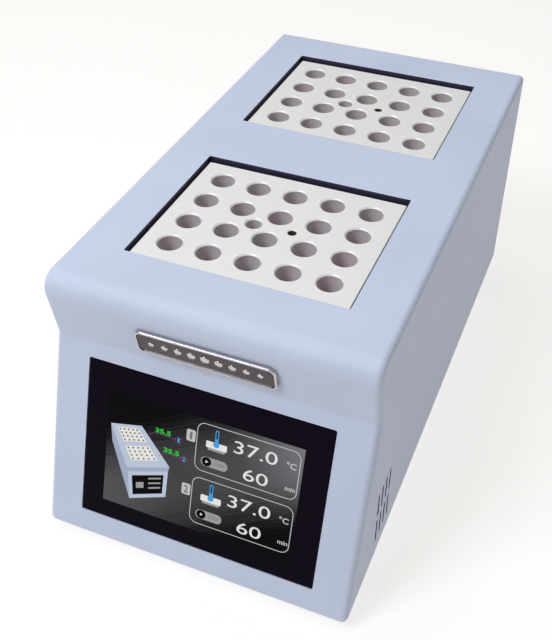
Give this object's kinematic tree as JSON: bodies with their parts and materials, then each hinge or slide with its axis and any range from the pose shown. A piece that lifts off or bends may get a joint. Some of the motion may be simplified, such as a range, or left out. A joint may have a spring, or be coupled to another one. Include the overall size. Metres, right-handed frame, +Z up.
{
  "type": "dry block heater",
  "caption": "Bench heater with two lift-out metal tube blocks in open wells, a sloping front with a touch display, and a mains inlet, fuse drawer and rocker switch behind.",
  "frame": {"origin": "under the middle of the whole outline, on the surface that the feet stand on", "axes": "+X to the user's right, +Y from the display to the rear panel, +Z up"},
  "size_m": [0.1406, 0.2776, 0.1265],
  "materials": {
    "housing": "satin powder coat, pale periwinkle blue",
    "sheet": "satin painted sheet steel",
    "steel": "zinc plated",
    "rubber": "matt black",
    "glass": "gloss black cover glass",
    "black": "moulded black nylon",
    "board": "green solder mask",
    "badge": "chromed plate with a dark field",
    "block": "bead blasted, clear anodised",
    "well": "dark anodised",
    "silicone": "silicone heater mat",
    "wool": "ceramic wool board",
    "brass": "nickel plated",
    "aluminium": "extruded, mill finish",
    "cable": "grey PVC",
    "nickel": "nickel plate"
  },
  "bodies": {
    "housing": {"top_cover": "housing", "base_plate": "sheet", "rear_panel": "sheet", "foot_front_left": "rubber", "foot_screw_front_left": "steel", "board_standoff_front_left": "brass", "front_well_post_front_left": "steel", "front_well_post_rear_left": "steel", "foot_front_right": "rubber", "foot_screw_front_right": "steel", "board_standoff_front_right": "brass", "front_well_post_front_right": "steel", "front_well_post_rear_right": "steel", "front_well": "well", "front_heater": "silicone", "front_insulation": "wool", "front_sensor": "steel", "front_cutout": "steel", "front_triac": "black", "foot_rear_left": "rubber", "foot_screw_rear_left": "steel", "board_standoff_rear_left": "brass", "rear_well_post_front_left": "steel", "rear_well_post_rear_left": "steel", "foot_rear_right": "rubber", "foot_screw_rear_right": "steel", "board_standoff_rear_right": "brass", "rear_well_post_front_right": "steel", "rear_well_post_rear_right": "steel", "rear_well": "well", "rear_heater": "silicone", "rear_insulation": "wool", "rear_sensor": "steel", "rear_cutout": "steel", "rear_triac": "black", "rear_screw_low_left": "steel", "rear_screw_low_right": "steel", "rear_screw_high_left": "steel", "rear_screw_high_right": "steel", "touch_glass": "glass", "glass_gasket": "rubber", "lcd_module": "black", "display_board": "board", "main_board": "board", "display_bracket": "steel", "power_supply": "steel", "badge": "badge", "heat_sink": "aluminium", "ribbon_cable": "cable", "mains_lead": "cable", "power_inlet": "black", "switch_housing": "black", "inlet_blade_left": "nickel", "inlet_blade_right": "nickel", "inlet_blade_earth": "nickel"},
    "front_block": {"front_block": "block"},
    "rear_block": {"rear_block": "block"},
    "rocker": {"power_rocker": "black"},
    "drawer": {"fuse_drawer": "black", "fuse": "nickel"}
  },
  "joints": [
    {"name": "front_block_lift", "type": "slide", "parent": "housing", "child": "front_block", "axis": [0, 0, 1], "range_m": [0, 0.065]},
    {"name": "rear_block_lift", "type": "slide", "parent": "housing", "child": "rear_block", "axis": [0, 0, 1], "range_m": [0, 0.065]},
    {"name": "power_rocker_tilt", "type": "hinge", "parent": "housing", "child": "rocker", "pos_m": [0.026, 0.13126, 0.033], "axis": [1, 0, 0], "range_deg": [-18, 0]},
    {"name": "fuse_drawer_slide", "type": "slide", "parent": "housing", "child": "drawer", "axis": [0, 1, 0], "range_m": [0, 0.018]}
  ]
}
